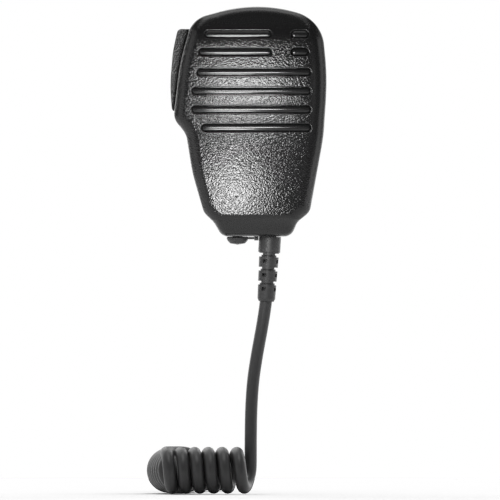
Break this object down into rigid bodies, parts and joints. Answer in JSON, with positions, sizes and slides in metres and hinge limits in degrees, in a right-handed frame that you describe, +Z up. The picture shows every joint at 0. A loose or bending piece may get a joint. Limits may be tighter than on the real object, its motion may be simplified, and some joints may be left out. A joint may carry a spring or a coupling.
{
  "type": "hand microphone",
  "caption": "Speaker microphone held in the hand or clipped to clothing, with a push-to-talk lever, curly cord, earphone jack and two-pin plug.",
  "frame": {"origin": "where the back clip's jaw grips, on the clip plate's rear face", "axes": "+Z up along the case, -Y the way the grille faces, +X to the right seen from the front"},
  "size_m": [0.0655, 0.2182, 0.1704],
  "materials": {
    "case_plastic": "black moulded plastic with a fine glossy grain",
    "button_plastic": "black grained plastic",
    "pad_rubber": "smooth dark grey soft-touch insert",
    "soft_rubber": "matt black rubber",
    "cord_jacket": "satin dark grey jacket",
    "seal_rubber": "black seal",
    "grille_film": "glossy black membrane",
    "steel": "plated steel",
    "screw_steel": "zinc-plated screws",
    "magnet": "sintered magnet",
    "paper": "pressed paper cone",
    "copper": "enamelled copper winding",
    "brass": "turned brass",
    "aluminium": "capsule can",
    "board": "green solder mask",
    "chip": "black epoxy",
    "header_plastic": "natural nylon",
    "wire": "coloured wire insulation",
    "jack_plastic": "moulded jack housing",
    "clip_plastic": "black moulded plastic",
    "plug_plastic": "black moulded plug",
    "pin_metal": "nickel-plated contacts",
    "insulator": "black insulating rings"
  },
  "bodies": {
    "case": {"front_case": "case_plastic", "rear_case": "case_plastic", "case_gasket": "seal_rubber", "case_screws": "screw_steel", "case_inserts": "brass", "grille_membrane": "grille_film", "speaker_gasket": "seal_rubber", "speaker_frame": "steel", "speaker_yoke": "steel", "speaker_magnet": "magnet", "speaker_pole_plate": "steel", "speaker_screws": "screw_steel", "mic_capsule": "aluminium", "mic_grommet": "seal_rubber", "circuit_board": "board", "board_screws": "screw_steel", "board_chips": "chip", "board_capacitors": "aluminium", "wire_header": "header_plastic", "inner_wires": "wire", "ptt_pivot_pin": "steel", "ptt_switch_body": "chip", "jack_body": "jack_plastic", "jack_terminals": "brass", "jack_cap_peg": "soft_rubber", "cord_boot": "soft_rubber", "cord_entry": "cord_jacket", "cord_clamp": "steel", "cord_clamp_screws": "screw_steel", "cord_lead": "cord_jacket", "cord_coil": "cord_jacket", "cord_tail": "cord_jacket", "plug_boot": "soft_rubber", "plug_body": "plug_plastic", "plug_large_sleeve": "pin_metal", "plug_large_ring": "pin_metal", "plug_large_tip": "pin_metal", "plug_small_sleeve": "pin_metal", "plug_small_ring": "pin_metal", "plug_small_tip": "pin_metal", "plug_insulators": "insulator", "clip_insert": "brass", "clip_washer": "steel", "clip_screw": "screw_steel"},
    "speaker_cone": {"speaker_cone": "paper", "speaker_dust_cap": "paper", "speaker_voice_coil": "copper", "speaker_surround": "seal_rubber"},
    "ptt_lever": {"ptt_button": "button_plastic", "ptt_pad": "pad_rubber", "ptt_return_spring": "steel"},
    "switch_plunger": {"ptt_switch_plunger": "header_plastic"},
    "jack_cap": {"jack_cap": "soft_rubber", "jack_cap_tether": "soft_rubber"},
    "clip": {"clip_hub": "clip_plastic", "clip_base": "clip_plastic", "clip_pin": "steel", "clip_spring": "steel"},
    "clip_lever": {"clip_lever": "clip_plastic"}
  },
  "joints": [
    {"name": "cone_travel", "type": "slide", "parent": "case", "child": "speaker_cone", "axis": [0, 1, 0], "range_m": [-0.0003, 0.0003], "stiffness_N_per_m": 1200, "deforming": ["speaker_surround"]},
    {"name": "ptt_press", "type": "hinge", "parent": "case", "child": "ptt_lever", "pos_m": [-0.0246, -0.0175, 0.021], "axis": [0, 1, 0], "range_deg": [0, 3.5], "stiffness_Nm_per_rad": 0.4, "springref_deg": -4.58, "deforming": ["ptt_return_spring"]},
    {"name": "switch_travel", "type": "slide", "parent": "case", "child": "switch_plunger", "axis": [1, 0, 0], "range_m": [0, 0.00095]},
    {"name": "jack_cap_swing", "type": "hinge", "parent": "case", "child": "jack_cap", "pos_m": [-0.0014, -0.0175, -0.0256], "axis": [0, -1, 0], "range_deg": [0, 80], "stiffness_Nm_per_rad": 0.0005, "springref_deg": -17.19, "deforming": ["jack_cap_tether"]},
    {"name": "clip_swivel", "type": "hinge", "parent": "case", "child": "clip", "pos_m": [0, -0.0016, 0.02], "axis": [0, 1, 0], "continuous": true},
    {"name": "clip_open", "type": "hinge", "parent": "clip", "child": "clip_lever", "pos_m": [0, 0.0045, 0.03], "axis": [1, 0, 0], "range_deg": [0, 24], "stiffness_Nm_per_rad": 0.3, "springref_deg": -28.65, "deforming": ["clip_spring"]}
  ],
  "couplings": [
    {"joint": "switch_travel", "follows": "ptt_press", "m_per_rad": 0.015}
  ]
}
